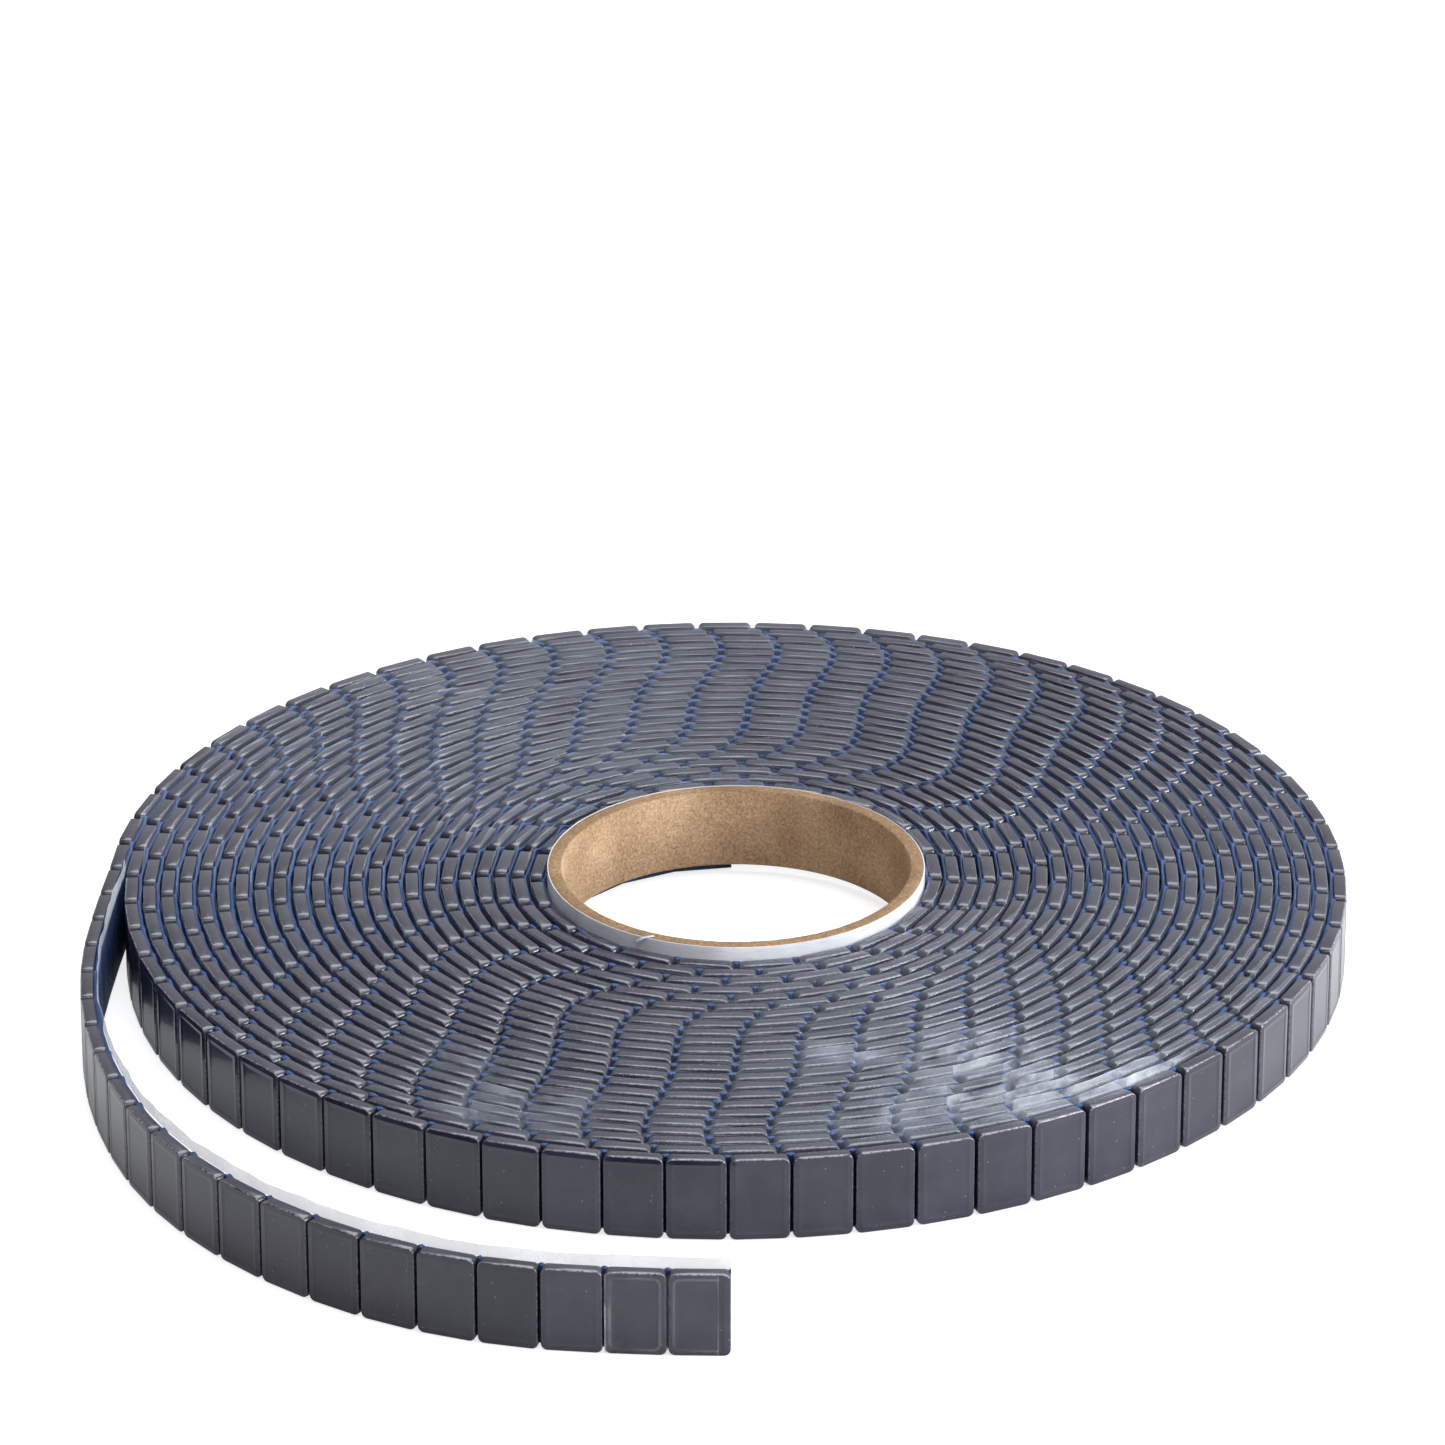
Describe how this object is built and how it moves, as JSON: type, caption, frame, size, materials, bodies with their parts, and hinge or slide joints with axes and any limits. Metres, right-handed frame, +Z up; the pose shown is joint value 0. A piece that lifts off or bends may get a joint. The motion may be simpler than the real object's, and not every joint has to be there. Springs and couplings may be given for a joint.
{
  "type": "coil of adhesive wheel weights",
  "caption": "Flat coil of small rectangular steel balancing weights stuck side by side on foam tape, wound on a card core, with a free end that bends between the weights.",
  "frame": {"origin": "the centre of the core's bore, on its axis and half way up it; the coil rests 11.95 mm below", "axes": "+Z up along the core's axis, -Y towards the free end of the strip, +X to the right seen from there"},
  "size_m": [0.2736, 0.3208, 0.0213],
  "materials": {
    "coated_steel": "gloss dark grey coating",
    "board": "brown wound board, matt",
    "white_paper": "smooth white paper",
    "blue_foam": "blue adhesive foam tape",
    "clear_film": "thin clear film"
  },
  "bodies": {
    "coil": {"core_tube": "board", "core_outer_ply": "white_paper", "inner_turns_01": "coated_steel", "inner_turns_02": "coated_steel", "inner_turns_03": "coated_steel", "inner_turns_04": "coated_steel", "inner_turns_05": "coated_steel", "inner_turns_06": "coated_steel", "inner_turns_07": "coated_steel", "inner_turns_08": "coated_steel", "inner_turns_09": "coated_steel", "inner_turns_10": "coated_steel", "inner_turns_11": "coated_steel", "outer_turn_weights": "coated_steel", "outer_turn_foam": "blue_foam", "outer_turn_film": "clear_film"},
    "tail_01": {"tail_weight_01": "coated_steel", "tail_tape_01": "blue_foam"},
    "tail_02": {"tail_weight_02": "coated_steel", "tail_tape_02": "blue_foam"},
    "tail_03": {"tail_weight_03": "coated_steel", "tail_tape_03": "blue_foam"},
    "tail_04": {"tail_weight_04": "coated_steel", "tail_tape_04": "blue_foam"},
    "tail_05": {"tail_weight_05": "coated_steel", "tail_tape_05": "blue_foam"},
    "tail_06": {"tail_weight_06": "coated_steel", "tail_tape_06": "blue_foam"},
    "tail_07": {"tail_weight_07": "coated_steel", "tail_tape_07": "blue_foam"},
    "tail_08": {"tail_weight_08": "coated_steel", "tail_tape_08": "blue_foam"},
    "tail_09": {"tail_weight_09": "coated_steel", "tail_tape_09": "blue_foam"},
    "tail_10": {"tail_weight_10": "coated_steel", "tail_tape_10": "blue_foam"},
    "tail_11": {"tail_weight_11": "coated_steel", "tail_tape_11": "blue_foam"},
    "tail_12": {"tail_weight_12": "coated_steel", "tail_tape_12": "blue_foam"},
    "tail_13": {"tail_weight_13": "coated_steel", "tail_tape_13": "blue_foam"},
    "tail_14": {"tail_weight_14": "coated_steel", "tail_tape_14": "blue_foam"},
    "tail_15": {"tail_weight_15": "coated_steel", "tail_tape_15": "blue_foam"},
    "tail_16": {"tail_weight_16": "coated_steel", "tail_tape_16": "blue_foam"},
    "tail_17": {"tail_weight_17": "coated_steel", "tail_tape_17": "blue_foam"},
    "tail_18": {"tail_weight_18": "coated_steel", "tail_tape_18": "blue_foam"},
    "tail_19": {"tail_weight_19": "coated_steel", "tail_tape_19": "blue_foam"},
    "tail_20": {"tail_weight_20": "coated_steel", "tail_tape_20": "blue_foam", "closing_tape": "clear_film"}
  },
  "joints": [
    {"name": "tail_bend_01", "type": "hinge", "parent": "coil", "child": "tail_01", "pos_m": [-0.13461, 0.00343, -0.0027], "axis": [0, 0, 1], "range_deg": [-2.5, 1]},
    {"name": "tail_bend_02", "type": "hinge", "parent": "tail_01", "child": "tail_02", "pos_m": [-0.13573, -0.00919, -0.0027], "axis": [0, 0, 1], "range_deg": [-4.55, 3.95]},
    {"name": "tail_bend_03", "type": "hinge", "parent": "tail_02", "child": "tail_03", "pos_m": [-0.13662, -0.02181, -0.0027], "axis": [0, 0, 1], "range_deg": [-4.55, 3.95]},
    {"name": "tail_bend_04", "type": "hinge", "parent": "tail_03", "child": "tail_04", "pos_m": [-0.13727, -0.03446, -0.0027], "axis": [0, 0, 1], "range_deg": [-7.23, 1.27]},
    {"name": "tail_bend_05", "type": "hinge", "parent": "tail_04", "child": "tail_05", "pos_m": [-0.1371, -0.04712, -0.0027], "axis": [0, 0, 1], "range_deg": [-7.23, 1.27]},
    {"name": "tail_bend_06", "type": "hinge", "parent": "tail_05", "child": "tail_06", "pos_m": [-0.13611, -0.05974, -0.0027], "axis": [0, 0, 1], "range_deg": [-7.23, 1.27]},
    {"name": "tail_bend_07", "type": "hinge", "parent": "tail_06", "child": "tail_07", "pos_m": [-0.1343, -0.07227, -0.0027], "axis": [0, 0, 1], "range_deg": [-7.72, 0.78]},
    {"name": "tail_bend_08", "type": "hinge", "parent": "tail_07", "child": "tail_08", "pos_m": [-0.13157, -0.08463, -0.0027], "axis": [0, 0, 1], "range_deg": [-7.72, 0.78]},
    {"name": "tail_bend_09", "type": "hinge", "parent": "tail_08", "child": "tail_09", "pos_m": [-0.12794, -0.09676, -0.0027], "axis": [0, 0, 1], "range_deg": [-7.72, 0.78]},
    {"name": "tail_bend_10", "type": "hinge", "parent": "tail_09", "child": "tail_10", "pos_m": [-0.12343, -0.10859, -0.0027], "axis": [0, 0, 1], "range_deg": [-9.33, 0]},
    {"name": "tail_bend_11", "type": "hinge", "parent": "tail_10", "child": "tail_11", "pos_m": [-0.11774, -0.1199, -0.0027], "axis": [0, 0, 1], "range_deg": [-9.33, 0]},
    {"name": "tail_bend_12", "type": "hinge", "parent": "tail_11", "child": "tail_12", "pos_m": [-0.11093, -0.13057, -0.0027], "axis": [0, 0, 1], "range_deg": [-9.33, 0]},
    {"name": "tail_bend_13", "type": "hinge", "parent": "tail_12", "child": "tail_13", "pos_m": [-0.10307, -0.14049, -0.0027], "axis": [0, 0, 1], "range_deg": [-9.33, 0]},
    {"name": "tail_bend_14", "type": "hinge", "parent": "tail_13", "child": "tail_14", "pos_m": [-0.09424, -0.14957, -0.0027], "axis": [0, 0, 1], "range_deg": [-9.33, 0]},
    {"name": "tail_bend_15", "type": "hinge", "parent": "tail_14", "child": "tail_15", "pos_m": [-0.08454, -0.1577, -0.0027], "axis": [0, 0, 1], "range_deg": [-9.33, 0]},
    {"name": "tail_bend_16", "type": "hinge", "parent": "tail_15", "child": "tail_16", "pos_m": [-0.07406, -0.1648, -0.0027], "axis": [0, 0, 1], "range_deg": [-10.4, 0]},
    {"name": "tail_bend_17", "type": "hinge", "parent": "tail_16", "child": "tail_17", "pos_m": [-0.06281, -0.1706, -0.0027], "axis": [0, 0, 1], "range_deg": [-10.4, 0]},
    {"name": "tail_bend_18", "type": "hinge", "parent": "tail_17", "child": "tail_18", "pos_m": [-0.05093, -0.175, -0.0027], "axis": [0, 0, 1], "range_deg": [-10.4, 0]},
    {"name": "tail_bend_19", "type": "hinge", "parent": "tail_18", "child": "tail_19", "pos_m": [-0.03862, -0.17794, -0.0027], "axis": [0, 0, 1], "range_deg": [-10.4, 0]},
    {"name": "tail_bend_20", "type": "hinge", "parent": "tail_19", "child": "tail_20", "pos_m": [-0.02604, -0.17938, -0.0027], "axis": [0, 0, 1], "range_deg": [-6.2, 2.3]}
  ]
}
